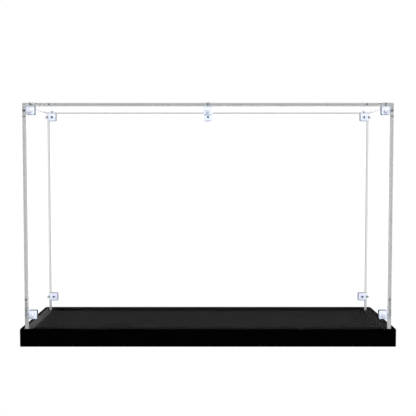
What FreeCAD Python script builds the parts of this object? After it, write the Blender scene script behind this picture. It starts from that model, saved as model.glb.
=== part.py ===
"""Clear display case for one ball: a box of five clear sheets that stands in a shallow black base.

The sheets are screwed to ten small clear connector blocks, so the whole cover lifts off the base in
one piece. Lengths are in millimetres. The origin is the middle of the base's underside, +X runs
along the length of the case, the front faces -Y and +Z is up.
"""

import FreeCAD
import Part
import Sketcher

import os

DRIVING_SIZES = [
    # the base
    ("base_length", 380),
    ("base_depth", 190),
    ("base_height", 18),
    ("base_sheet", 3),
    ("recess_depth", 4),
    # the clear cover
    ("cover_gap", 1.5),
    ("cover_height", 231),
    ("clear_sheet", 3),
    ("edge_break", 0.25),
    # the connector blocks
    ("block_side", 9),
    ("block_round", 0.7),
    ("lower_block_rise", 17.5),
    ("bore_width", 2.1),
    # the screws and their holes
    ("hole_width", 2.4),
    ("shank_width", 2),
    ("screw_length", 6),
    ("head_width", 4),
    ("head_height", 1.1),
    ("slot_width", 0.55),
    ("slot_length", 2.2),
    ("slot_depth", 0.6),
]

doc = FreeCAD.newDocument("display_case")
sheet = doc.addObject("Spreadsheet::Sheet", "sizes")
for row, (alias, value) in enumerate(DRIVING_SIZES, start=1):
    sheet.set(f"A{row}", alias)
    sheet.set(f"B{row}", str(value))
    sheet.setAlias(f"B{row}", alias)
doc.recompute()

# Lengths worked out from the driving sizes, as expressions that the document keeps.
COVER_LENGTH = "(sizes.base_length - 2 * sizes.base_sheet - 2 * sizes.cover_gap)"
COVER_DEPTH = "(sizes.base_depth - 2 * sizes.base_sheet - 2 * sizes.cover_gap)"
DECK_TOP = "(sizes.base_height - sizes.recess_depth)"
WALL_HEIGHT = "(sizes.cover_height - sizes.clear_sheet)"  # a side, front or back sheet, under the top
COVER_TOP = f"({DECK_TOP} + sizes.cover_height)"
INSIDE_LENGTH = f"({COVER_LENGTH} - 2 * sizes.clear_sheet)"
BLOCK_INSET = "(sizes.clear_sheet + sizes.block_side / 2)"  # outer face of the cover to a block's middle
BLOCK_X = f"({COVER_LENGTH} / 2 - {BLOCK_INSET})"
BLOCK_Y = f"({COVER_DEPTH} / 2 - {BLOCK_INSET})"
UPPER_Z = f"({COVER_TOP} - {BLOCK_INSET})"
LOWER_Z = f"({DECK_TOP} + sizes.lower_block_rise)"

HORIZONTAL, VERTICAL = "DistanceX", "DistanceY"
ORIGIN_POINT = (-1, 1)  # the sketch's own origin, as Sketcher numbers it
ROUGH = 5  # half the size that a rectangle is first drawn at, before its constraints set it
exported = []


def origin_plane(body, role):
    """The origin plane of a body, found by its role."""
    return next(item for item in body.Origin.OriginFeatures if item.Role == role)


def place(thing, x="0", y="0", z="0"):
    """Bind an object's position to three expressions in millimetres."""
    for axis, expression in zip("xyz", (x, y, z)):
        thing.setExpression(f"Placement.Base.{axis}", expression)


def bind_distance(sketch, direction, start, end, expression):
    """Add a distance constraint between two sketch points and bind it to an expression."""
    index = sketch.addConstraint(Sketcher.Constraint(direction, *start, *end, 1.0))
    sketch.setExpression(f"Constraints[{index}]", expression)


def new_sketch(body, name, role):
    """An empty sketch on one of the body's origin planes."""
    sketch = body.newObject("Sketcher::SketchObject", name)
    sketch.AttachmentSupport = (origin_plane(body, role), [""])
    sketch.MapMode = "FlatFace"
    return sketch


def add_rectangle(sketch, width, height, stands_on_origin):
    """Draw a rectangle, centred on the origin or standing on it, with its sides bound."""
    bottom = 0 if stands_on_origin else -ROUGH
    top = bottom + 2 * ROUGH
    corners = [(-ROUGH, bottom), (ROUGH, bottom), (ROUGH, top), (-ROUGH, top)]
    points = [FreeCAD.Vector(x, y, 0) for x, y in corners]
    for start, end in zip(points, points[1:] + points[:1]):
        sketch.addGeometry(Part.LineSegment(start, end))
    for side in range(4):
        sketch.addConstraint(Sketcher.Constraint("Coincident", side, 2, (side + 1) % 4, 1))
    for side, kind in enumerate(["Horizontal", "Vertical", "Horizontal", "Vertical"]):
        sketch.addConstraint(Sketcher.Constraint(kind, side))
    bind_distance(sketch, HORIZONTAL, (0, 1), (0, 2), width)
    bind_distance(sketch, VERTICAL, (1, 1), (1, 2), height)
    bind_distance(sketch, HORIZONTAL, (0, 1), ORIGIN_POINT, f"{width} / 2")
    if stands_on_origin:
        sketch.addConstraint(Sketcher.Constraint("PointOnObject", 0, 1, -1))
    else:
        bind_distance(sketch, VERTICAL, (0, 1), ORIGIN_POINT, f"{height} / 2")


def add_hole(sketch, across, up):
    """Draw a screw hole; across and up are (sign, expression) pairs measured from the origin."""
    start = FreeCAD.Vector(across[0] * ROUGH, up[0] * ROUGH, 0)
    hole = sketch.addGeometry(Part.Circle(start, FreeCAD.Vector(0, 0, 1), 1.0))
    index = sketch.addConstraint(Sketcher.Constraint("Diameter", hole, 2.0))
    sketch.setExpression(f"Constraints[{index}]", "sizes.hole_width")
    centre = (hole, 3)
    for direction, other_axis, (sign, expression) in ((HORIZONTAL, -2, across), (VERTICAL, -1, up)):
        if sign == 0:
            sketch.addConstraint(Sketcher.Constraint("PointOnObject", *centre, other_axis))
        elif sign > 0:
            bind_distance(sketch, direction, ORIGIN_POINT, centre, expression)
        else:
            bind_distance(sketch, direction, centre, ORIGIN_POINT, expression)


def outline_edges(shape, thickness):
    """Names of the straight edges round both faces of a sheet, without the ones across its edge."""
    slack = 0.01
    return [
        f"Edge{number}"
        for number, edge in enumerate(shape.Edges, start=1)
        if edge.Curve.TypeId == "Part::GeomLine" and edge.Length > thickness + slack
    ]


def cut_sheet(label, role, width, height, thickness, holes=(), stands_on_origin=False):
    """A flat sheet cut to size: its outline and holes in one sketch, padded, its edges broken."""
    body = doc.addObject("PartDesign::Body", label)
    outline = new_sketch(body, f"{label}_outline", role)
    add_rectangle(outline, width, height, stands_on_origin)
    for across, up in holes:
        add_hole(outline, across, up)
    pad = body.newObject("PartDesign::Pad", f"{label}_pad")
    pad.Profile = outline
    pad.Midplane = True
    pad.setExpression("Length", thickness)
    doc.recompute()
    broken = body.newObject("PartDesign::Chamfer", f"{label}_edge_break")
    broken.Base = (pad, outline_edges(pad.Shape, pad.Length.Value))
    broken.setExpression("Size", "sizes.edge_break")
    exported.append(body)
    return body


def clear_cover_sheets():
    """The five clear sheets: two walls between two side walls, and the top over all four."""
    sheet_middle = "sizes.clear_sheet / 2"
    corners = [(side, level) for level in (LOWER_Z, UPPER_Z) for side in (-1, 1)]

    def wall_holes(reach):
        return [((side, reach), (1, f"({level} - {DECK_TOP})")) for side, level in corners]

    long_wall_holes = wall_holes(BLOCK_X) + [((0, ""), (1, f"({UPPER_Z} - {DECK_TOP})"))]
    for label, sign in (("front_panel", -1), ("back_panel", 1)):
        panel = cut_sheet(
            label, "XZ_Plane", INSIDE_LENGTH, WALL_HEIGHT, "sizes.clear_sheet", long_wall_holes, True
        )
        place(panel, y=f"{sign} * ({COVER_DEPTH} / 2 - {sheet_middle})", z=DECK_TOP)
    for label, sign in (("left_panel", -1), ("right_panel", 1)):
        panel = cut_sheet(
            label, "YZ_Plane", COVER_DEPTH, WALL_HEIGHT, "sizes.clear_sheet", wall_holes(BLOCK_Y), True
        )
        place(panel, x=f"{sign} * ({COVER_LENGTH} / 2 - {sheet_middle})", z=DECK_TOP)
    top_holes = [((side, BLOCK_X), (end, BLOCK_Y)) for side in (-1, 0, 1) for end in (-1, 1)]
    top = cut_sheet("top_panel", "XY_Plane", COVER_LENGTH, COVER_DEPTH, "sizes.clear_sheet", top_holes)
    place(top, z=f"{COVER_TOP} - {sheet_middle}")


def screw_bore(name, axis):
    """A bore along one axis of a connector block centred on the origin, longer than the block."""
    bore = doc.addObject("Part::Cylinder", name)
    bore.setExpression("Radius", "sizes.bore_width / 2")
    bore.setExpression("Height", "2 * sizes.block_side")
    along = FreeCAD.Vector(*(1 if letter == axis else 0 for letter in "xyz"))
    bore.Placement.Rotation = FreeCAD.Rotation(FreeCAD.Vector(0, 0, 1), along)
    bore.setExpression(f"Placement.Base.{axis}", "-sizes.block_side")
    return bore


def connector(label, axes, x, y, z):
    """A rounded clear block, drilled right through along each axis that a screw comes in on."""
    block = doc.addObject("Part::Box", f"{label}_block")
    for side, axis in (("Length", "x"), ("Width", "y"), ("Height", "z")):
        block.setExpression(side, "sizes.block_side")
        block.setExpression(f"Placement.Base.{axis}", "-sizes.block_side / 2")
    rounded = doc.addObject("Part::Fillet", f"{label}_rounded")
    rounded.Base = block
    radius = float(sheet.get("block_round"))
    rounded.Edges = [(edge, radius, radius) for edge in range(1, 13)]
    bores = doc.addObject("Part::MultiFuse", f"{label}_bores")
    bores.Shapes = [screw_bore(f"{label}_bore_{axis}", axis) for axis in axes]
    body = doc.addObject("Part::Cut", label)
    body.Base = rounded
    body.Tool = bores
    place(body, x, y, z)
    exported.append(body)


def connectors():
    """Four lower and four upper corner blocks, and one in the middle of each long top edge."""
    for side_name, side in (("left", -1), ("right", 1)):
        for end_name, end in (("front", -1), ("back", 1)):
            spot = (f"{side} * {BLOCK_X}", f"{end} * {BLOCK_Y}")
            connector(f"lower_{end_name}_{side_name}_connector", "xy", *spot, LOWER_Z)
            connector(f"upper_{end_name}_{side_name}_connector", "xyz", *spot, UPPER_Z)
    for end_name, end in (("front", -1), ("back", 1)):
        connector(f"top_{end_name}_middle_connector", "yz", "0", f"{end} * {BLOCK_Y}", UPPER_Z)


def one_screw():
    """A thin-head machine screw pointing down -Z, the underside of its head at the origin."""
    body = doc.addObject("PartDesign::Body", "screw_pattern")
    profile = new_sketch(body, "screw_profile", "XZ_Plane")
    # half the screw, drawn roughly: the constraints give it its size
    corners = [(0, -6), (1, -6), (1, 0), (2, 0), (2, 0.5), (0, 1)]
    points = [FreeCAD.Vector(x, y, 0) for x, y in corners]
    for start, end in zip(points, points[1:] + points[:1]):
        profile.addGeometry(Part.LineSegment(start, end))
    last = len(points)
    for line in range(last):
        profile.addConstraint(Sketcher.Constraint("Coincident", line, 2, (line + 1) % last, 1))
    for line, kind in enumerate(["Horizontal", "Vertical", "Horizontal", "Vertical"]):
        profile.addConstraint(Sketcher.Constraint(kind, line))
    profile.addConstraint(Sketcher.Constraint("PointOnObject", 0, 1, -2))
    profile.addConstraint(Sketcher.Constraint("PointOnObject", 5, 1, -2))
    profile.addConstraint(Sketcher.Constraint("PointOnObject", 2, 1, -1))
    bind_distance(profile, HORIZONTAL, (0, 1), (0, 2), "sizes.shank_width / 2")
    bind_distance(profile, VERTICAL, (0, 1), ORIGIN_POINT, "sizes.screw_length")
    bind_distance(profile, HORIZONTAL, ORIGIN_POINT, (2, 2), "sizes.head_width / 2")
    bind_distance(profile, VERTICAL, (3, 1), (3, 2), "sizes.head_height / 2")
    bind_distance(profile, VERTICAL, ORIGIN_POINT, (5, 1), "sizes.head_height")
    turned = body.newObject("PartDesign::Revolution", "screw_turned")
    turned.Profile = profile
    turned.ReferenceAxis = (profile, ["V_Axis"])
    turned.Angle = 360
    slots = new_sketch(body, "screw_cross", "XY_Plane")
    slots.setExpression("AttachmentOffset.Base.z", "sizes.head_height")
    arm, half = "sizes.slot_length / 2", "sizes.slot_width / 2"
    # a cross, drawn roughly: 3 stands for the end of an arm and 1 for its side
    ring = [(1, 3), (1, 1), (3, 1), (3, -1), (1, -1), (1, -3)]
    ring += [(-x, -y) for x, y in ring]
    points = [FreeCAD.Vector(x / 3, y / 3, 0) for x, y in ring]
    for start, end in zip(points, points[1:] + points[:1]):
        slots.addGeometry(Part.LineSegment(start, end))
    for corner, (x, y) in enumerate(ring):
        slots.addConstraint(Sketcher.Constraint("Coincident", corner, 2, (corner + 1) % len(ring), 1))
        for direction, value in ((HORIZONTAL, x), (VERTICAL, y)):
            ends = [ORIGIN_POINT, (corner, 1)] if value > 0 else [(corner, 1), ORIGIN_POINT]
            bind_distance(slots, direction, *ends, arm if abs(value) == 3 else half)
    doc.recompute()
    solid_volume = turned.Shape.Volume
    recess = body.newObject("PartDesign::Pocket", "screw_recess")
    recess.Profile = slots
    recess.setExpression("Length", "sizes.slot_depth")
    doc.recompute()
    if not recess.Shape.Volume < 0.99 * solid_volume:
        raise RuntimeError("the screw's cross recess cut nothing")
    return body


def screw_group(label, screw, axis, sign, spots):
    """One node of identical screws driven in from one side of the cover, one for each spot."""
    group = doc.addObject("Part::Compound", label)
    head_way = FreeCAD.Vector(*(sign if letter == axis else 0 for letter in "xyz"))
    turn = FreeCAD.Rotation(FreeCAD.Vector(0, 0, 1), head_way)
    links = []
    for number, spot in enumerate(spots, start=1):
        link = doc.addObject("App::Link", f"{label}_{number}")
        link.LinkedObject = screw
        link.LinkTransform = False
        link.LinkPlacement = FreeCAD.Placement(FreeCAD.Vector(), turn)
        for letter, expression in zip("xyz", spot):
            link.setExpression(f"LinkPlacement.Base.{letter}", expression)
        links.append(link)
    group.Links = links
    exported.append(group)


def cover_screws():
    """The screws, grouped by the sheet that they hold."""
    screw = one_screw()
    sides = (-1, 1)
    corners_x = [f"{side} * {BLOCK_X}" for side in sides]
    corners_y = [f"{side} * {BLOCK_Y}" for side in sides]
    for name, sign in (("front", -1), ("back", 1)):
        face = f"{sign} * {COVER_DEPTH} / 2"
        spots = [(x, face, z) for z in (LOWER_Z, UPPER_Z) for x in corners_x]
        spots.append(("0", face, UPPER_Z))
        screw_group(f"{name}_panel_screws", screw, "y", sign, spots)
    for name, sign in (("left", -1), ("right", 1)):
        face = f"{sign} * {COVER_LENGTH} / 2"
        spots = [(face, y, z) for z in (LOWER_Z, UPPER_Z) for y in corners_y]
        screw_group(f"{name}_panel_screws", screw, "x", sign, spots)
    spots = [(x, y, COVER_TOP) for x in corners_x + ["0"] for y in corners_y]
    screw_group("top_panel_screws", screw, "z", 1, spots)


def base_pieces():
    """The black base: four walls round a deck and an underside, with three strips between them."""
    thick = "sizes.base_sheet"
    between_walls_x = f"(sizes.base_length - 2 * {thick})"
    between_walls_y = f"(sizes.base_depth - 2 * {thick})"
    for label, sign in (("base_front_wall", -1), ("base_back_wall", 1)):
        wall = cut_sheet(label, "XZ_Plane", "sizes.base_length", "sizes.base_height", thick,
                         stands_on_origin=True)
        place(wall, y=f"{sign} * (sizes.base_depth - {thick}) / 2")
    for label, sign in (("base_left_wall", -1), ("base_right_wall", 1)):
        wall = cut_sheet(label, "YZ_Plane", between_walls_y, "sizes.base_height", thick,
                         stands_on_origin=True)
        place(wall, x=f"{sign} * (sizes.base_length - {thick}) / 2")
    deck = cut_sheet("base_deck", "XY_Plane", between_walls_x, between_walls_y, thick)
    place(deck, z=f"{DECK_TOP} - {thick} / 2")
    underside = cut_sheet("base_underside", "XY_Plane", between_walls_x, between_walls_y, thick)
    place(underside, z=f"{thick} / 2")
    strip_height = f"({DECK_TOP} - 2 * {thick})"
    for label, step in (("base_left_strip", -1), ("base_middle_strip", 0), ("base_right_strip", 1)):
        strip = cut_sheet(label, "YZ_Plane", between_walls_y, strip_height, thick, stands_on_origin=True)
        place(strip, x=f"{step} * {between_walls_x} / 4", z=thick)


def check_and_export():
    """Stop on any failed object or bad shape, then write one STEP file for each sub-part."""
    doc.recompute()
    for thing in doc.Objects:
        if any(state in ("Invalid", "Error") for state in thing.State):
            raise RuntimeError(f"{thing.Name} failed: {thing.State}")
    os.makedirs("parts", exist_ok=True)
    for part in exported:
        shape = part.Shape
        if shape.isNull() or not shape.isValid() or not shape.Solids:
            raise RuntimeError(f"{part.Label} has no valid solid")
        shape.exportStep(os.path.join("parts", f"{part.Label}.step"))
        box = shape.BoundBox
        print(f"{part.Label:32} {len(shape.Solids)} solids {shape.Volume:9.0f} mm3  "
              f"x {box.XMin:7.2f} {box.XMax:7.2f}  y {box.YMin:6.2f} {box.YMax:6.2f}  "
              f"z {box.ZMin:6.2f} {box.ZMax:6.2f}")


clear_cover_sheets()
connectors()
cover_screws()
base_pieces()
check_and_export()
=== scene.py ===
"""Looks of the clear display case: clear sheets, connector blocks, screws and the black base."""

import math

import bmesh
import bpy
from mathutils import Matrix, Vector
from mathutils.geometry import delaunay_2d_cdt


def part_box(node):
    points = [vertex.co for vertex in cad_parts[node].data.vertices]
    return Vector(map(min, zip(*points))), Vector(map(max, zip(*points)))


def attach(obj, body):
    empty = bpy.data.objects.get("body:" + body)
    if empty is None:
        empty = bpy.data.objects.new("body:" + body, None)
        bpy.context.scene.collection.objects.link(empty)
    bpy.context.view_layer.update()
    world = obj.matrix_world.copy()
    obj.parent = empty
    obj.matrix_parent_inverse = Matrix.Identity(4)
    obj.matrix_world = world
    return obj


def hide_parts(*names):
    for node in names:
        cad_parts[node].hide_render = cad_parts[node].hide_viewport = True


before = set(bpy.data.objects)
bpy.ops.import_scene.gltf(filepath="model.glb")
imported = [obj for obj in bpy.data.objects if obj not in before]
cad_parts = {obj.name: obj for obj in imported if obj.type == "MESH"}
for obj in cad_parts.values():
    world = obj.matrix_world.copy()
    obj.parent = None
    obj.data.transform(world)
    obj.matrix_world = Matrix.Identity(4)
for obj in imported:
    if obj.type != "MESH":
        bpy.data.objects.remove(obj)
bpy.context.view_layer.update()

MM = 0.001
TOUCHING = 0.1 * MM  # pieces closer than this touch

# how the pieces are finished, in metres and radians
AIR_GAP = 0.03 * MM  # left round every clear piece, because dry sheets never touch optically
SHEET_EDGE = (0.6 * MM, 0.25 * MM)  # how far a polished edge rounds over, along the face and down it
WALL_EDGE = (0.2 * MM, 0.2 * MM)
SHEET_CORNER = 0.65 * MM  # radius of a sheet's corners, seen from its face
HOLE_RADIUS = 1.2 * MM
BLOCK_ROUND = 1.1 * MM
BORE_RADIUS = 1.05 * MM
BORE_MOUTH = 0.2 * MM  # width of the chamfer round a bore's mouth
SHARP_ANGLE = math.radians(40)  # faces that meet at more than this show a crease
BORE_OVERRUN = 0.3 * MM  # how far a bore's cutter reaches past the block
WELL_INSIDE = 0.999  # within this share of a hole's radius, a triangle's middle lies in the hole
SAME_POINT = 1e-9  # points closer than this are one

# the screws, in metres
HEAD_RADIUS = 2.0 * MM
HEAD_HEIGHT = 1.0 * MM
SHANK_RADIUS = 1.0 * MM
SCREW_LENGTH = 6.0 * MM
THREAD_PITCH = 0.4 * MM
THREAD_DEPTH = 0.2 * MM
RECESS_DEPTH = 0.62 * MM
RECESS_TOP = (1.2 * MM, 0.27 * MM)  # half the length and half the width of one arm, at the top
RECESS_BOTTOM = (0.7 * MM, 0.2 * MM)  # and at the bottom
RECESS_OVERRUN = 0.2 * MM  # how far a recess's cutter reaches above the head
FIRST_TURN, NEXT_TURN = 37, 71  # degrees that a sheet's first screw is turned by, and each further one

# the shape of a screw's head, as shares of its radius and of its height
DOME_STEPS = 6
TOP_RING = 0.62  # sets how small the first ring round the middle is
DOME_START, DOME_WIDTH = 0.55, 0.45
SKIRT_HEIGHT, DOME_HEIGHT = 0.35, 0.65
DOME_FULLNESS = 0.8  # less than 1 makes the dome fuller than an ellipse
UNDERCUT_HEIGHT, UNDERCUT_RADIUS = 0.12, 0.96

# the thread
ROWS_PER_PITCH = 5
FLANK_SLOPE = 2.4  # more than 2 leaves the crest worn flat
POINT_PITCHES = 0.8  # length of the whole taper, in pitches
POINT_START = 0.35  # share of the taper that the blunt tip cuts off
POINT_LEAST, POINT_GROWTH = 0.7, 0.3  # share of the radius where the taper starts, and what it adds

# the camera, in metres and radians, with its lens in millimetres
CAMERA_DISTANCE = 1.2864  # in front of the middle of the case
CAMERA_HEIGHT = 0.18278
CAMERA_PITCH = math.radians(4.8287)
FOCAL_LENGTH = 102.96
SENSOR_WIDTH = 36.0
SHIFT_UP = 0.13904

# optical values
SHEET_IOR = 1.49  # of the sheets' sheen
SHEET_SHEEN = 0.2  # share of the sheets' reflection that shows
EDGE_IOR = 1.2  # less than the sheet's own, so the screws seen through the edges show near their heights
# the faces hardly bend light, so that the far edges keep their width, as in the photo; light that came
# in through an edge stays between the faces: (bending, trapping) indices
END_FACES = (1.006, 1.0098)  # of the left and right sheets
LONG_FACES = (1.0015, 1.0019)  # of the front, back and top sheets
BLOCK_IOR = 1.5
BLOCK_SHEEN = 0.12  # share of the blocks' reflection that shows
BLACK_GLOSS = 0.0006  # gloss of the black sheets, seen straight on
WHITE_ROOM = 1.01  # how bright the white room is
ROOM_THROUGH = 1.12  # how bright it is behind clear sheet
MIRRORED_ROOM = 0.05  # how bright it is in a reflection, as if it stood far behind dark flags

# haze and painted light in the gutters, with lengths in metres
HAZIEST_BELOW = 13 * MM  # above the cover's foot its edges are at their haziest up to here
LEAST_HAZY_ABOVE = 23 * MM  # and least hazy from here
STANDING_HEIGHT = 1.2 * SHEET_EDGE[0]  # the cover's lowest edges are polished clear, up to this height
GUTTER_LIGHT_FADE = 1.5 * MM  # width over which the painted light in the gutters thins out under the cover
RIGHT_GUTTER_LIGHT = 0.25  # share of painted light in the right gutter, where the left one has 1

# the studio, in metres and watts
FLOOR_REACH = 6.0
FLOOR_DROP = 0.2 * MM  # keeps the floor's plane clear of the base's underside
SOFT_LIGHTS = (
    # name, place, what it points at, width and height, power
    ("top_light", (0.0, 0.1, 2.2), (0, 0, 0), (2.4, 2.4), 30),
    ("right_light", (1.5, 0.9, 0.75), (0, 0, 0.1), (0.9, 1.0), 40),
    ("left_light", (-1.5, 0.7, 0.8), (0, 0, 0.1), (0.8, 1.0), 20),
    ("front_light", (0.4, -1.9, 1.5), (0, 0, 0.1), (1.2, 0.8), 60),
)

COVER_SHEETS = ("front_panel", "back_panel", "left_panel", "right_panel", "top_panel")
BASE_SHEETS = ("base_front_wall", "base_back_wall", "base_left_wall", "base_right_wall", "base_deck")
HIDDEN_BASE = ("base_underside", "base_left_strip", "base_middle_strip", "base_right_strip")
CONNECTORS = sorted(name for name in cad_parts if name.endswith("_connector"))


# ---------------------------------------------------------------- node helpers

def new_material(name):
    """An empty node material with its output; gives the material, its node tree and the output."""
    material = bpy.data.materials.new(name)
    material.use_nodes = True
    tree = material.node_tree
    tree.nodes.clear()
    return material, tree, tree.nodes.new("ShaderNodeOutputMaterial")


def add_node(tree, kind, inputs=None, **settings):
    """Add a node, set its properties, and fill inputs with values or with links from sockets."""
    node = tree.nodes.new(kind)
    for key, value in settings.items():
        setattr(node, key, value)
    for key, value in (inputs or {}).items():
        if isinstance(value, bpy.types.NodeSocket):
            tree.links.new(value, node.inputs[key])
        else:
            node.inputs[key].default_value = value
    return node


def object_coordinates(tree, scale=(1, 1, 1)):
    """Object-space coordinates in metres, stretched by scale."""
    coordinates = add_node(tree, "ShaderNodeTexCoord").outputs["Object"]
    return add_node(tree, "ShaderNodeMapping", {"Vector": coordinates, "Scale": scale}).outputs[0]


def noise(tree, vector, scale, detail=3.0, roughness=0.5):
    """Values of a noise texture from 0 to 1."""
    settings = {"Vector": vector, "Scale": scale, "Detail": detail, "Roughness": roughness}
    return add_node(tree, "ShaderNodeTexNoise", settings).outputs["Fac"]


def remap(tree, value, low, high, to_low, to_high):
    """Map value from low..high to to_low..to_high, clamped."""
    settings = {"Value": value, "From Min": low, "From Max": high, "To Min": to_low, "To Max": to_high}
    return add_node(tree, "ShaderNodeMapRange", settings, clamp=True).outputs[0]


def math_node(tree, operation, *values):
    """The result of a Math node."""
    return add_node(tree, "ShaderNodeMath", dict(enumerate(values)), operation=operation).outputs[0]


def mix_colours(tree, factor, first, second):
    """A colour between first and second by factor."""
    node = add_node(tree, "ShaderNodeMix", {"Factor": factor}, data_type="RGBA")
    for socket, value in (("A", first), ("B", second)):
        slot = next(item for item in node.inputs if item.name == socket and item.type == "RGBA")
        if isinstance(value, bpy.types.NodeSocket):
            tree.links.new(value, slot)
        else:
            slot.default_value = value
    return next(item for item in node.outputs if item.type == "RGBA")


def mix_shaders(tree, share, first, second):
    """A shader between first and second by the share of the second."""
    return add_node(tree, "ShaderNodeMixShader", {0: share, 1: first, 2: second}).outputs[0]


def milky(tree, colour, normal, glow):
    """Scattered light: the share glow goes on through, and the rest is thrown back."""
    lit = add_node(tree, "ShaderNodeBsdfDiffuse", {"Color": colour, "Normal": normal}).outputs[0]
    glowing = add_node(tree, "ShaderNodeBsdfTranslucent", {"Color": colour, "Normal": normal}).outputs[0]
    return mix_shaders(tree, glow, lit, glowing)


def bump(tree, height, strength, distance):
    """A normal disturbed by height."""
    settings = {"Height": height, "Strength": strength, "Distance": distance}
    return add_node(tree, "ShaderNodeBump", settings).outputs[0]


def light_through(tree, shader, tint):
    """The shader for what is seen, and plain tinted transparency for light that falls through."""
    shadow_ray = add_node(tree, "ShaderNodeLightPath").outputs["Is Shadow Ray"]
    passing = add_node(tree, "ShaderNodeBsdfTransparent", {"Color": tint}).outputs[0]
    return mix_shaders(tree, shadow_ray, shader, passing)


def room_brightness(tree):
    """How bright the room looks: seen directly, through clear sheet, or in a reflection."""
    path = add_node(tree, "ShaderNodeLightPath").outputs
    through = path["Is Transmission Ray"]
    straight = math_node(tree, "SUBTRACT", 1.0, through)
    mirrored = math_node(tree, "MULTIPLY", path["Is Glossy Ray"], straight)
    gain = math_node(tree, "MULTIPLY", through, ROOM_THROUGH - WHITE_ROOM)
    loss = math_node(tree, "MULTIPLY", mirrored, WHITE_ROOM - MIRRORED_ROOM)
    return math_node(tree, "SUBTRACT", math_node(tree, "ADD", WHITE_ROOM, gain), loss)


# ---------------------------------------------------------------- materials

def clear_face_material(name, bending, trapping):
    """Polished face of clear sheet: shows what is behind it, with a soft reflection and faint smears."""
    material, tree, output = new_material(name)
    smears = noise(tree, object_coordinates(tree, (9, 9, 14)), 1.0, 4.0)
    roughness = remap(tree, smears, 0.35, 0.75, 0.0, 0.01)
    bent = add_node(tree, "ShaderNodeBsdfRefraction", {
        "Color": (0.996, 0.998, 0.998, 1), "Roughness": roughness, "IOR": bending
    }).outputs[0]
    mirrored = add_node(tree, "ShaderNodeBsdfGlossy", {
        "Color": (1, 1, 1, 1), "Roughness": roughness
    }).outputs[0]
    fresnel = add_node(tree, "ShaderNodeFresnel", {"IOR": SHEET_IOR}).outputs[0]
    from_outside = remap(tree, fresnel, 0.95, 1.0, 1.0, 0.0)
    sheen = math_node(tree, "MULTIPLY", fresnel, SHEET_SHEEN)
    softened = math_node(tree, "MULTIPLY", sheen, from_outside)
    held_in = add_node(tree, "ShaderNodeFresnel", {"IOR": trapping}).outputs[0]
    trapped = remap(tree, held_in, 0.9, 1.0, 0.0, 1.0)
    share = math_node(tree, "MAXIMUM", softened, trapped)
    glass = mix_shaders(tree, share, bent, mirrored)
    tree.links.new(light_through(tree, glass, (0.98, 0.98, 0.98, 1)), output.inputs["Surface"])
    return material


def clear_edge_material():
    """Machined edge of clear sheet: a faint haze, hazier near its foot, polished where it stands."""
    material, tree, output = new_material("clear_sheet_edge")
    marks = noise(tree, object_coordinates(tree, (1500, 1500, 1500)), 1.0, 2.0)
    blotches = noise(tree, object_coordinates(tree, (60, 60, 60)), 1.0, 3.0)
    grey = mix_colours(
        tree, remap(tree, blotches, 0.35, 0.65, 0, 1), (0.29, 0.293, 0.296, 1), (0.35, 0.353, 0.356, 1)
    )
    normal = bump(tree, marks, 0.01, 0.00001)
    clear = add_node(tree, "ShaderNodeBsdfPrincipled", {
        "Base Color": (0.43, 0.434, 0.438, 1), "Roughness": remap(tree, marks, 0.3, 0.7, 0.01, 0.03),
        "IOR": EDGE_IOR, "Transmission Weight": 1.0, "Normal": normal,
    }).outputs[0]
    haze = milky(tree, grey, normal, 0.5)
    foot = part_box("front_panel")[0][2]
    place = add_node(tree, "ShaderNodeTexCoord").outputs["Object"]
    height = add_node(tree, "ShaderNodeSeparateXYZ", {0: place}).outputs["Z"]
    patchy = remap(tree, blotches, 0.3, 0.7, 0.11, 0.15)
    foot_haze = remap(tree, height, foot + HAZIEST_BELOW, foot + LEAST_HAZY_ABOVE, 0.9, 0.1)
    machined = mix_shaders(tree, math_node(tree, "MAXIMUM", patchy, foot_haze), clear, haze)
    polished = add_node(tree, "ShaderNodeBsdfRefraction", {
        "Color": (0.72, 0.73, 0.74, 1), "Roughness": 0.0, "IOR": END_FACES[0]
    }).outputs[0]
    standing = math_node(tree, "LESS_THAN", height, foot + STANDING_HEIGHT)
    shader = mix_shaders(tree, standing, machined, polished)
    tree.links.new(light_through(tree, shader, (0.9, 0.9, 0.9, 1)), output.inputs["Surface"])
    return material


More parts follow.
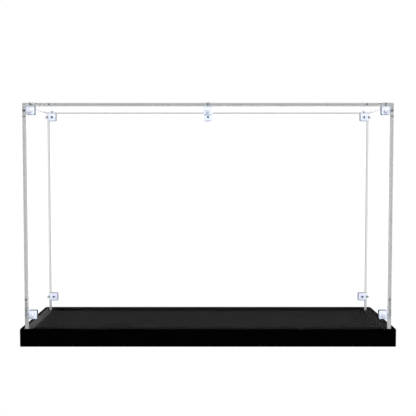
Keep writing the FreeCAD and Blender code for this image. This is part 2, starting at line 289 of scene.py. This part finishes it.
def connector_material():
    """Milky plastic with a faint blue cast, and painted shade that darkens it where it turns away from
    the viewer, except on faces towards the case's ends.
    """
    material, tree, output = new_material("milky_block")
    facing = add_node(tree, "ShaderNodeLayerWeight", {"Blend": 0.5}).outputs["Facing"]
    place = add_node(tree, "ShaderNodeTexCoord").outputs
    side = add_node(tree, "ShaderNodeSeparateXYZ", {0: place["Object"]}).outputs["X"]
    slant = add_node(tree, "ShaderNodeSeparateXYZ", {0: place["Normal"]}).outputs["X"]
    outwards = math_node(tree, "MULTIPLY", math_node(tree, "SIGN", side), slant)
    # painted shade: faces that don't point towards the case's ends go dark where they turn away from the
    # viewer
    painted_shade_faces = remap(tree, outwards, 0.15, 0.45, 1, 0)
    turned = math_node(tree, "MULTIPLY", painted_shade_faces, remap(tree, facing, 0.34, 0.56, 0, 1))
    flow = noise(tree, object_coordinates(tree, (180, 180, 260)), 1.0, 3.0)
    face = mix_colours(tree, flow, (0.62, 0.66, 0.76, 1), (0.70, 0.74, 0.83, 1))
    colour = mix_colours(tree, turned, face, (0.025, 0.027, 0.04, 1))
    roughness = remap(tree, flow, 0.3, 0.7, 0.04, 0.08)
    normal = bump(tree, flow, 0.08, 0.0001)
    milk = milky(tree, colour, normal, 0.25)
    clear = add_node(tree, "ShaderNodeBsdfRefraction", {
        "Color": colour, "Roughness": roughness, "IOR": BLOCK_IOR, "Normal": normal
    }).outputs[0]
    body = mix_shaders(tree, 0.2, milk, clear)
    mirrored = add_node(tree, "ShaderNodeBsdfGlossy", {
        "Color": (1, 1, 1, 1), "Roughness": roughness, "Normal": normal
    }).outputs[0]
    fresnel = add_node(tree, "ShaderNodeFresnel", {"IOR": BLOCK_IOR}).outputs[0]
    share = math_node(tree, "MULTIPLY", fresnel, BLOCK_SHEEN)
    shader = mix_shaders(tree, share, body, mirrored)
    tree.links.new(light_through(tree, shader, (0.7, 0.74, 0.85, 1)), output.inputs["Surface"])
    return material


def bore_material():
    """Walls of a tapped bore: torn, dull plastic, dark with painted shade, darker in patches."""
    material, tree, output = new_material("tapped_bore")
    tears = noise(tree, object_coordinates(tree, (1400, 1400, 1400)), 1.0, 3.0)
    shader = add_node(tree, "ShaderNodeBsdfPrincipled", {
        # painted shade: the bore's walls are dark
        "Base Color": mix_colours(tree, tears, (0.07, 0.08, 0.10, 1), (0.20, 0.22, 0.25, 1)),
        "Roughness": remap(tree, tears, 0.3, 0.7, 0.4, 0.6), "Normal": bump(tree, tears, 0.5, 0.0001),
    }).outputs[0]
    tree.links.new(shader, output.inputs["Surface"])
    return material


def screw_material(name, metallic, dark, bright, painted_shade_colour):
    """Stainless steel, turned, with fine rings and small wear marks, and painted shade that darkens it
    where it turns away from the viewer.
    """
    material, tree, output = new_material(name)
    grain = noise(tree, object_coordinates(tree, (2600, 2600, 2600)), 1.0, 3.0)
    wear = noise(tree, object_coordinates(tree, (700, 700, 700)), 1.0, 2.0)
    facing = add_node(tree, "ShaderNodeLayerWeight", {"Blend": 0.5}).outputs["Facing"]
    metal = mix_colours(tree, wear, dark, bright)
    shader = add_node(tree, "ShaderNodeBsdfPrincipled", {
        # painted shade: the colour darkens where the steel turns away from the viewer
        "Base Color": mix_colours(tree, remap(tree, facing, 0.15, 0.6, 0, 1), metal, painted_shade_colour),
        "Metallic": metallic, "Roughness": remap(tree, grain, 0.3, 0.7, 0.2, 0.36),
        "Normal": bump(tree, grain, 0.15, 0.00003),
    }).outputs[0]
    tree.links.new(shader, output.inputs["Surface"])
    return material


def painted_gutter_light(tree):
    """How much painted light lies in the gutters between the ends of the cover and the base's walls: 1
    left, less right.
    """
    cover_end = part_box("right_panel")[0][0]
    wall_low, wall_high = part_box("base_right_wall")
    front_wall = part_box("base_front_wall")[1][1]
    place = add_node(tree, "ShaderNodeTexCoord").outputs["Object"]
    parts = add_node(tree, "ShaderNodeSeparateXYZ", {0: place}).outputs
    reach = math_node(tree, "ABSOLUTE", parts["X"])
    past_cover = remap(tree, reach, cover_end - GUTTER_LIGHT_FADE, cover_end, 0, 1)
    before_wall = math_node(tree, "LESS_THAN", reach, wall_low[0] + TOUCHING)
    depth = math_node(tree, "ABSOLUTE", parts["Y"])
    before_front = math_node(tree, "LESS_THAN", depth, -front_wall - TOUCHING)
    under_rim = math_node(tree, "LESS_THAN", parts["Z"], wall_high[2] - 2 * WALL_EDGE[1])
    side = remap(tree, parts["X"], -MM, MM, 1.0, RIGHT_GUTTER_LIGHT)
    share = past_cover
    for part in (before_wall, before_front, under_rim, side):
        share = math_node(tree, "MULTIPLY", share, part)
    return share


def black_sheet_material(name, least_roughness, dull, sheen):
    """Black sheet with faint smears, fine grain and painted light in its gutters.

    dull is how much light it scatters, and sheen is its gloss at a grazing angle.
    """
    material, tree, output = new_material(name)
    grain = noise(tree, object_coordinates(tree, (3200, 3200, 3200)), 1.0, 2.0)
    smears = noise(tree, object_coordinates(tree, (14, 22, 30)), 1.0, 5.0, 0.6)
    plain = mix_colours(
        tree, smears, (0.7 * dull, 0.7 * dull, 0.73 * dull, 1), (1.3 * dull, 1.3 * dull, 1.27 * dull, 1)
    )
    gutter_light_noise = noise(tree, object_coordinates(tree, (90, 60, 90)), 1.0, 5.0, 0.65)
    # painted light: a lighter, mottled colour in the gutters, full at the left and weaker at the right
    gutter_light_colour = mix_colours(tree, gutter_light_noise, (0.035, 0.035, 0.034, 1), (0.075, 0.074, 0.072, 1))
    colour = mix_colours(tree, painted_gutter_light(tree), plain, gutter_light_colour)
    smear_roughness = remap(tree, smears, 0.3, 0.7, least_roughness, least_roughness + 0.1)
    grain_roughness = remap(tree, grain, 0.3, 0.7, -0.01, 0.01)
    normal = bump(tree, grain, 0.02, 0.00001)
    body = add_node(tree, "ShaderNodeBsdfDiffuse", {"Color": colour, "Normal": normal}).outputs[0]
    gloss = add_node(tree, "ShaderNodeBsdfGlossy", {
        "Color": (1, 1, 1, 1), "Normal": normal,
        "Roughness": math_node(tree, "ADD", smear_roughness, grain_roughness),
    }).outputs[0]
    facing = add_node(tree, "ShaderNodeLayerWeight", {"Blend": 0.5}).outputs["Facing"]
    grazing = math_node(tree, "MULTIPLY", sheen, math_node(tree, "POWER", facing, 4.0))
    shader = mix_shaders(tree, math_node(tree, "ADD", BLACK_GLOSS, grazing), body, gloss)
    tree.links.new(shader, output.inputs["Surface"])
    return material


def floor_material():
    """Matt white studio floor, evenly lit from below, that polished things reflect only dimly."""
    material, tree, output = new_material("studio_floor")
    speckle = noise(tree, object_coordinates(tree, (40, 40, 40)), 1.0, 4.0)
    colour = mix_colours(tree, speckle, (0.99, 0.99, 0.99, 1), (1, 1, 1, 1))
    strength = room_brightness(tree)
    shader = add_node(tree, "ShaderNodeEmission", {"Color": colour, "Strength": strength}).outputs[0]
    tree.links.new(shader, output.inputs["Surface"])
    material.cycles.emission_sampling = "NONE"
    return material


# ---------------------------------------------------------------- meshes

def finish_mesh(name, mesh_maker, body, materials, replaced):
    """Make an object from a bmesh, shade it, give it its materials, tie it to its body, and hide the CAD
    node that it stands in for.
    """
    mesh = bpy.data.meshes.new(name)
    bmesh.ops.recalc_face_normals(mesh_maker, faces=mesh_maker.faces)
    mesh_maker.to_mesh(mesh)
    mesh_maker.free()
    piece = bpy.data.objects.new(name, mesh)
    bpy.context.scene.collection.objects.link(piece)
    for face in mesh.polygons:
        face.use_smooth = True
    mesh.set_sharp_from_angle(angle=SHARP_ANGLE)
    weighted = piece.modifiers.new("even_faces", "WEIGHTED_NORMAL")
    weighted.keep_sharp = True
    weighted.weight = 100
    for material in materials:
        mesh.materials.append(material)
    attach(piece, body)
    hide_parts(replaced)


def rounded_outline(width, height, corner, inset):
    """Points round a rectangle with rounded corners, drawn inwards by inset."""
    points = []
    steps = 4
    for turn, (across, up) in enumerate(((1, 1), (-1, 1), (-1, -1), (1, -1))):
        centre = Vector((across * (width / 2 - corner), up * (height / 2 - corner)))
        for step in range(steps + 1):
            angle = math.pi / 2 * (turn + step / steps)
            points.append(centre + (corner - inset) * Vector((math.cos(angle), math.sin(angle))))
    return points


def circle(centre, radius, steps=40):
    """Points round a circle."""
    turns = [2 * math.pi * step / steps for step in range(steps)]
    return [Vector(centre) + radius * Vector((math.cos(turn), math.sin(turn))) for turn in turns]


def edge_profile(thickness, edge, steps=3):
    """(inset, height) pairs from one face of a sheet round its rounded edge to the other face."""
    across, down = edge
    arc = [math.pi / 2 * step / steps for step in range(steps + 1)]
    top = [(across * (1 - math.sin(turn)), thickness / 2 - down * (1 - math.cos(turn))) for turn in arc]
    return top + [(inset, -height) for inset, height in reversed(top)]


def join_rings(maker, rings):
    """Join each ring of vertices to the next one with a band of faces, and give the bands."""
    bands = []
    for upper, lower in zip(rings, rings[1:]):
        band = []
        for index in range(len(upper)):
            following = (index + 1) % len(upper)
            corners = (upper[index], upper[following], lower[following], lower[index])
            band.append(maker.faces.new(corners))
        bands.append(band)
    return bands


def plate(width, height, thickness, edge, corner, holes=()):
    """A sheet in the XY plane, centred on the origin: rounded outline, broken edges, round holes."""
    maker = bmesh.new()
    rims = []
    profile = edge_profile(thickness, edge)
    outlines = [lambda inset: rounded_outline(width, height, corner, inset)]
    outlines += [lambda inset, spot=spot: circle(spot, HOLE_RADIUS + inset) for spot in holes]
    for outline in outlines:
        levels = []
        for inset, level in profile:
            levels.append([maker.verts.new((point.x, point.y, level)) for point in outline(inset)])
        for band in join_rings(maker, levels):
            for face in band:
                face.material_index = 1
        rims.append((levels[0], levels[-1]))
    for side in (0, 1):
        fill_between(maker, [rim[side] for rim in rims])
    return maker


def fill_between(maker, rims):
    """Fill the flat face between an outline and the holes in it."""
    flat = [vert for rim in rims for vert in rim]
    edges = []
    start = 0
    for rim in rims:
        count = len(rim)
        edges += [(start + index, start + (index + 1) % count) for index in range(count)]
        start += count
    points = [Vector((vert.co.x, vert.co.y)) for vert in flat]
    holes = []
    for rim in rims[1:]:
        middle = sum((vert.co.xy for vert in rim), Vector((0, 0))) / len(rim)
        holes.append((middle, WELL_INSIDE * (rim[0].co.xy - middle).length))
    triangles = delaunay_2d_cdt(points, edges, [], 0, SAME_POINT)[2]
    for triangle in triangles:
        middle = sum((points[index] for index in triangle), Vector((0, 0))) / 3
        if all((middle - hole).length > radius for hole, radius in holes):
            maker.faces.new([flat[index] for index in triangle])


def lay_flat_on(axis):
    """The turn that puts a plate, made in the XY plane, across an axis."""
    if axis == "X":
        return Matrix(((0, 0, 1), (1, 0, 0), (0, 1, 0))).to_4x4()
    if axis == "Y":
        return Matrix(((1, 0, 0), (0, 0, -1), (0, 1, 0))).to_4x4()
    return Matrix.Identity(4)


def thin_axis(node):
    """The axis across a flat node: the one along which its box is smallest."""
    low, high = (Vector(corner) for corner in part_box(node))
    size = high - low
    return "XYZ"[min(range(3), key=lambda axis: size[axis])]


def screws_of(node):
    """Where screws go through a clear sheet: at the middle of each connector that touches it."""
    low, high = (Vector(corner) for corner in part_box(node))
    axis = "XYZ".index(thin_axis(node))
    spots = []
    for name in CONNECTORS:
        block_low, block_high = (Vector(corner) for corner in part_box(name))
        middle = (block_low + block_high) / 2
        if min(abs(block_low[axis] - high[axis]), abs(block_high[axis] - low[axis])) < TOUCHING:
            spots.append(middle)
    return spots


def make_sheet(node, body, edge, gap, materials, holes_at=()):
    """A finished sheet in place of a flat CAD node."""
    low, high = (Vector(corner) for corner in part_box(node))
    middle = (low + high) / 2
    axis = thin_axis(node)
    turn = lay_flat_on(axis)
    size = turn.to_3x3().inverted() @ (high - low)
    size = Vector([abs(part) - 2 * gap for part in size])
    holes = [(turn.to_3x3().inverted() @ (spot - middle)).xy for spot in holes_at]
    maker = plate(size.x, size.y, size.z, edge, SHEET_CORNER, holes)
    bmesh.ops.transform(maker, matrix=Matrix.Translation(middle) @ turn, verts=maker.verts)
    finish_mesh(f"{node}_sheet", maker, body, materials, node)


def cut_with(piece, cutters):
    """Cut the cutters' shapes out of a piece and apply the result."""
    for cutter in cutters:
        cut = piece.modifiers.new("cut", "BOOLEAN")
        cut.operation = "DIFFERENCE"
        cut.solver = "EXACT"
        cut.object = cutter
    bpy.context.view_layer.update()
    evaluated = piece.evaluated_get(bpy.context.evaluated_depsgraph_get())
    result = bpy.data.meshes.new_from_object(evaluated)
    piece.modifiers.clear()
    piece.data = result
    for cutter in cutters:
        bpy.data.objects.remove(cutter)


def loose_object(name, maker):
    """A plain object from a bmesh, for a cut."""
    mesh = bpy.data.meshes.new(name)
    maker.to_mesh(mesh)
    maker.free()
    thing = bpy.data.objects.new(name, mesh)
    bpy.context.scene.collection.objects.link(thing)
    return thing


def bore_axes(node):
    """The axes along which a connector is drilled: across each clear sheet that it touches."""
    low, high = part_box(node)
    axes = []
    for panel in COVER_SHEETS:
        axis = "XYZ".index(thin_axis(panel))
        panel_low, panel_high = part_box(panel)
        if min(abs(panel_low[axis] - high[axis]), abs(low[axis] - panel_high[axis])) < TOUCHING:
            axes.append(axis)
    return axes


def make_connector(node, materials):
    """A rounded clear block, drilled right through across every clear sheet that it touches."""
    low, high = (Vector(corner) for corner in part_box(node))
    middle = (low + high) / 2
    side = high.x - low.x - 2 * AIR_GAP
    maker = bmesh.new()
    bmesh.ops.create_cube(maker, size=side)
    bmesh.ops.bevel(maker, geom=list(maker.edges), offset=BLOCK_ROUND, segments=5, profile=0.5,
                    affect="EDGES", clamp_overlap=True)
    block = loose_object(f"{node}_block", maker)
    axes = bore_axes(node)
    cut_with(block, [bore_cutter(axis, side / 2) for axis in axes])
    shaped = bmesh.new()
    shaped.from_mesh(block.data)
    bpy.data.objects.remove(block)
    for face in shaped.faces:
        face.material_index = int(any(lies_in_bore(face, axis) for axis in axes))
    bmesh.ops.transform(shaped, matrix=Matrix.Translation(middle), verts=shaped.verts)
    finish_mesh(f"{node}_block", shaped, "cover", materials, node)


def lies_in_bore(face, axis):
    """Whether all of a face is in the bore along an axis, or in the chamfer at its mouth."""
    others = [other for other in range(3) if other != axis]
    reach = max(math.hypot(*(vert.co[other] for other in others)) for vert in face.verts)
    past_mouth = BORE_RADIUS + 1.5 * BORE_MOUTH
    return reach < past_mouth


def bore_cutter(axis, face):
    """A drill-shaped cutter along an axis, longer than the block and flared at both mouths."""
    maker = bmesh.new()
    flared = (BORE_RADIUS + BORE_MOUTH + BORE_OVERRUN, face + BORE_OVERRUN)
    straight = (BORE_RADIUS, face - BORE_MOUTH)
    levels = [flared, straight, (straight[0], -straight[1]), (flared[0], -flared[1])]
    rings = [[maker.verts.new((*point, level)) for point in circle((0, 0), radius, 32)]
             for radius, level in levels]
    join_rings(maker, rings)
    maker.faces.new(rings[0])
    maker.faces.new(rings[-1])
    bmesh.ops.recalc_face_normals(maker, faces=maker.faces)
    way = Vector([int(index == axis) for index in range(3)])
    turn = Vector((0, 0, 1)).rotation_difference(way).to_matrix().to_4x4()
    bmesh.ops.transform(maker, matrix=turn, verts=maker.verts)
    return loose_object("bore_cutter", maker)


def screw_rings():
    """(radius, height) rings of a screw's head, from the top of its dome to its underside."""
    dome = [math.pi / 2 * step / DOME_STEPS for step in range(1, DOME_STEPS + 1)]
    rings = [(TOP_RING * HEAD_RADIUS * math.sin(dome[0]), HEAD_HEIGHT)]
    for turn in dome:
        radius = HEAD_RADIUS * (DOME_START + DOME_WIDTH * math.sin(turn))
        height = HEAD_HEIGHT * (SKIRT_HEIGHT + DOME_HEIGHT * math.cos(turn) ** DOME_FULLNESS)
        rings.append((radius, height))
    rings.append((HEAD_RADIUS, UNDERCUT_HEIGHT * HEAD_HEIGHT))
    rings.append((UNDERCUT_RADIUS * HEAD_RADIUS, 0.0))
    rings.append((SHANK_RADIUS - THREAD_DEPTH, 0.0))
    return rings


def one_screw():
    """A pan-head machine screw with a cross recess and a cut thread, pointing down -Z."""
    maker = bmesh.new()
    steps = 24
    rings = screw_rings()
    rows = int(SCREW_LENGTH / (THREAD_PITCH / ROWS_PER_PITCH))
    for row in range(1, rows + 1):
        rings.append((None, -SCREW_LENGTH * row / rows))
    levels = []
    for radius, height in rings:
        ring = []
        for step in range(steps):
            turn = step / steps
            reach = thread_radius(turn, height) if radius is None else radius
            angle = 2 * math.pi * turn
            ring.append(maker.verts.new((reach * math.cos(angle), reach * math.sin(angle), height)))
        levels.append(ring)
    for band, (_, height) in zip(join_rings(maker, levels), rings):
        for face in band:
            face.material_index = int(height <= 0)
    maker.faces.new(levels[0])
    maker.faces.new(levels[-1]).material_index = 1
    bmesh.ops.recalc_face_normals(maker, faces=maker.faces)
    screw = loose_object("screw_blank", maker)
    cut_with(screw, [cross_cutter(turn) for turn in (0, math.pi / 2)])
    return screw


def thread_radius(turn, height):
    """Radius of the thread at a share of a turn and a height: flat crests and a tapered point."""
    phase = (height / THREAD_PITCH - turn) % 1.0
    tooth = min(1.0, FLANK_SLOPE * min(phase, 1 - phase))
    taper = min(1.0, (height + SCREW_LENGTH) / (POINT_PITCHES * THREAD_PITCH) + POINT_START)
    return (SHANK_RADIUS - THREAD_DEPTH * (1 - tooth)) * (POINT_LEAST + POINT_GROWTH * taper)


def cross_cutter(turn):
    """One arm of the screwdriver recess, narrower towards its bottom."""
    maker = bmesh.new()
    top, bottom = HEAD_HEIGHT + RECESS_OVERRUN, HEAD_HEIGHT - RECESS_DEPTH
    ends = []
    for length, width, level in ((*RECESS_TOP, top), (*RECESS_BOTTOM, bottom)):
        corners = ((-length, -width), (length, -width), (length, width), (-length, width))
        ends.append([maker.verts.new((x, y, level)) for x, y in corners])
    join_rings(maker, ends)
    maker.faces.new(ends[0])
    maker.faces.new(ends[1])
    bmesh.ops.recalc_face_normals(maker, faces=maker.faces)
    bmesh.ops.rotate(maker, verts=maker.verts, matrix=Matrix.Rotation(turn, 3, "Z"))
    return loose_object("cross_cutter", maker)


def make_screws(panel, pattern, materials):
    """All the screws of one clear sheet as one piece, each turned to its own angle."""
    axis = "XYZ".index(thin_axis(panel))
    low, high = (Vector(corner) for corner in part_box(panel))
    cover_middle = sum((Vector(corner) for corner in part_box("top_panel")), Vector()) / 2
    sign = 1 if panel == "top_panel" or (low + high)[axis] / 2 > cover_middle[axis] else -1
    way = Vector([sign if index == axis else 0 for index in range(3)])
    turn = Vector((0, 0, 1)).rotation_difference(way).to_matrix().to_4x4()
    maker = bmesh.new()
    for number, spot in enumerate(screws_of(panel)):
        head = spot.copy()
        head[axis] = high[axis] if sign > 0 else low[axis]
        drive_angle = Matrix.Rotation(math.radians(FIRST_TURN + NEXT_TURN * number), 4, "Z")
        fresh = pattern.data.copy()
        fresh.transform(Matrix.Translation(head) @ turn @ drive_angle)
        maker.from_mesh(fresh)
        bpy.data.meshes.remove(fresh)
    name = f"{panel}_screws"
    finish_mesh(f"{name}_set", maker, "cover", materials, name)


# ---------------------------------------------------------------- the object

def cover_sheet_finishes():
    """The finishes of the cover's sheets, by the axis across them: flat faces and machined edges."""
    edge = clear_edge_material()
    long_sheet = [clear_face_material("clear_long_face", *LONG_FACES), edge]
    end_sheet = [clear_face_material("clear_end_face", *END_FACES), edge]
    return {"X": end_sheet, "Y": long_sheet, "Z": long_sheet}


def screw_finishes():
    """The finishes of each sheet's screws, head and thread: lit and shaded copies of one steel, some
    painted lighter and some darker, as in the photo.
    """
    steel = ((0.53, 0.55, 0.61, 1), (0.60, 0.62, 0.69, 1))
    # painted shade on every head where it turns away from the viewer, darkest on the back and top heads
    head = screw_material("screw_head_steel", 0.35, *steel, (0.03, 0.03, 0.035, 1))
    side_head = screw_material("side_head_steel", 0.35, *steel, (0.22, 0.23, 0.26, 1))
    # painted reflection: the front heads are painted lighter steel
    front_head = screw_material("front_head_steel", 0.25, (0.61, 0.64, 0.71, 1), (0.69, 0.72, 0.79, 1),
                                (0.28, 0.30, 0.35, 1))
    # painted shade: the threads of the front, back and side sheets are painted nearly black
    thread = screw_material("side_thread_steel", 0.6, (0.04, 0.04, 0.045, 1), (0.09, 0.09, 0.095, 1),
                            (0.02, 0.02, 0.022, 1))
    # painted light: the top sheet's threads are painted lighter
    top_thread = screw_material("top_thread_steel", 0.4, (0.36, 0.36, 0.37, 1), (0.52, 0.52, 0.53, 1),
                                (0.32, 0.32, 0.33, 1))
    return {
        "front_panel": [front_head, thread],
        "back_panel": [head, thread],
        "left_panel": [side_head, thread],
        "right_panel": [side_head, thread],
        "top_panel": [head, top_thread],
    }


def make_cover():
    """The clear sheets, the blocks that join them and the screws."""
    sheets = cover_sheet_finishes()
    for panel in COVER_SHEETS:
        make_sheet(panel, "cover", SHEET_EDGE, AIR_GAP, sheets[thin_axis(panel)],
                   screws_of(panel))
    moulded = [connector_material(), bore_material()]
    for node in CONNECTORS:
        make_connector(node, moulded)
    pattern = one_screw()
    finishes = screw_finishes()
    for panel in COVER_SHEETS:
        make_screws(panel, pattern, finishes[panel])
    bpy.data.objects.remove(pattern)


def make_base():
    """The black sheets that show, and a finish for the CAD nodes hidden under them."""
    edge = black_sheet_material("black_sheet_edge", 0.14, 0.0004, 0.019)
    wall = [black_sheet_material("black_wall_sheet", 0.16, 0.0004, 0.019), edge]
    deck = [black_sheet_material("black_deck_sheet", 0.24, 0.003, 0.0062), edge]
    for node in BASE_SHEETS:
        black = deck if node == "base_deck" else wall
        make_sheet(node, "base", WALL_EDGE, 0.0, black)
    for node in HIDDEN_BASE:
        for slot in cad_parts[node].material_slots:
            slot.material = wall[0]


# ---------------------------------------------------------------- the studio

def add_floor():
    """A wide white floor."""
    maker = bmesh.new()
    bmesh.ops.create_grid(maker, x_segments=1, y_segments=1, size=FLOOR_REACH)
    floor = loose_object("studio_floor", maker)
    floor.location.z = -FLOOR_DROP
    floor.data.materials.append(floor_material())


def add_softbox(name, place, target, size, watts):
    """A rectangular soft light that points at target."""
    lamp = bpy.data.lights.new(name, "AREA")
    lamp.shape = "RECTANGLE"
    lamp.size, lamp.size_y = size
    lamp.energy = watts
    thing = bpy.data.objects.new(name, lamp)
    bpy.context.scene.collection.objects.link(thing)
    thing.location = place
    thing.rotation_euler = (Vector(target) - Vector(place)).to_track_quat("-Z", "Y").to_euler()
    thing.visible_camera = False
    thing.visible_transmission = False


def add_world():
    """A white room all round, which polished things reflect only dimly."""
    world = bpy.data.worlds.new("studio")
    bpy.context.scene.world = world
    world.use_nodes = True
    tree = world.node_tree
    tree.nodes.clear()
    world.cycles.sampling_method = "NONE"
    backdrop = add_node(tree, "ShaderNodeBackground", {
        "Color": (1, 1, 1, 1), "Strength": room_brightness(tree)
    })
    output = add_node(tree, "ShaderNodeOutputWorld")
    tree.links.new(backdrop.outputs[0], output.inputs["Surface"])


def add_camera():
    """The camera in front of the case, a little above its middle and looking slightly down."""
    lens = bpy.data.cameras.new("camera")
    lens.sensor_width = SENSOR_WIDTH
    lens.lens = FOCAL_LENGTH
    lens.shift_y = SHIFT_UP
    lens.clip_end = 50
    camera = bpy.data.objects.new("camera", lens)
    bpy.context.scene.collection.objects.link(camera)
    camera.location = (0, -CAMERA_DISTANCE, CAMERA_HEIGHT)
    camera.rotation_euler = (math.pi / 2 - CAMERA_PITCH, 0, 0)
    bpy.context.scene.camera = camera


def set_up_studio():
    """Floor, lights, backdrop, camera and how light is traced through clear pieces."""
    add_floor()
    add_world()
    add_camera()
    for light in SOFT_LIGHTS:
        add_softbox(*light)
    scene = bpy.context.scene
    scene.view_settings.view_transform = "Standard"
    scene.cycles.max_bounces = 24
    scene.cycles.transmission_bounces = 24
    scene.cycles.glossy_bounces = 12
    scene.cycles.transparent_max_bounces = 24


make_cover()
make_base()
set_up_studio()
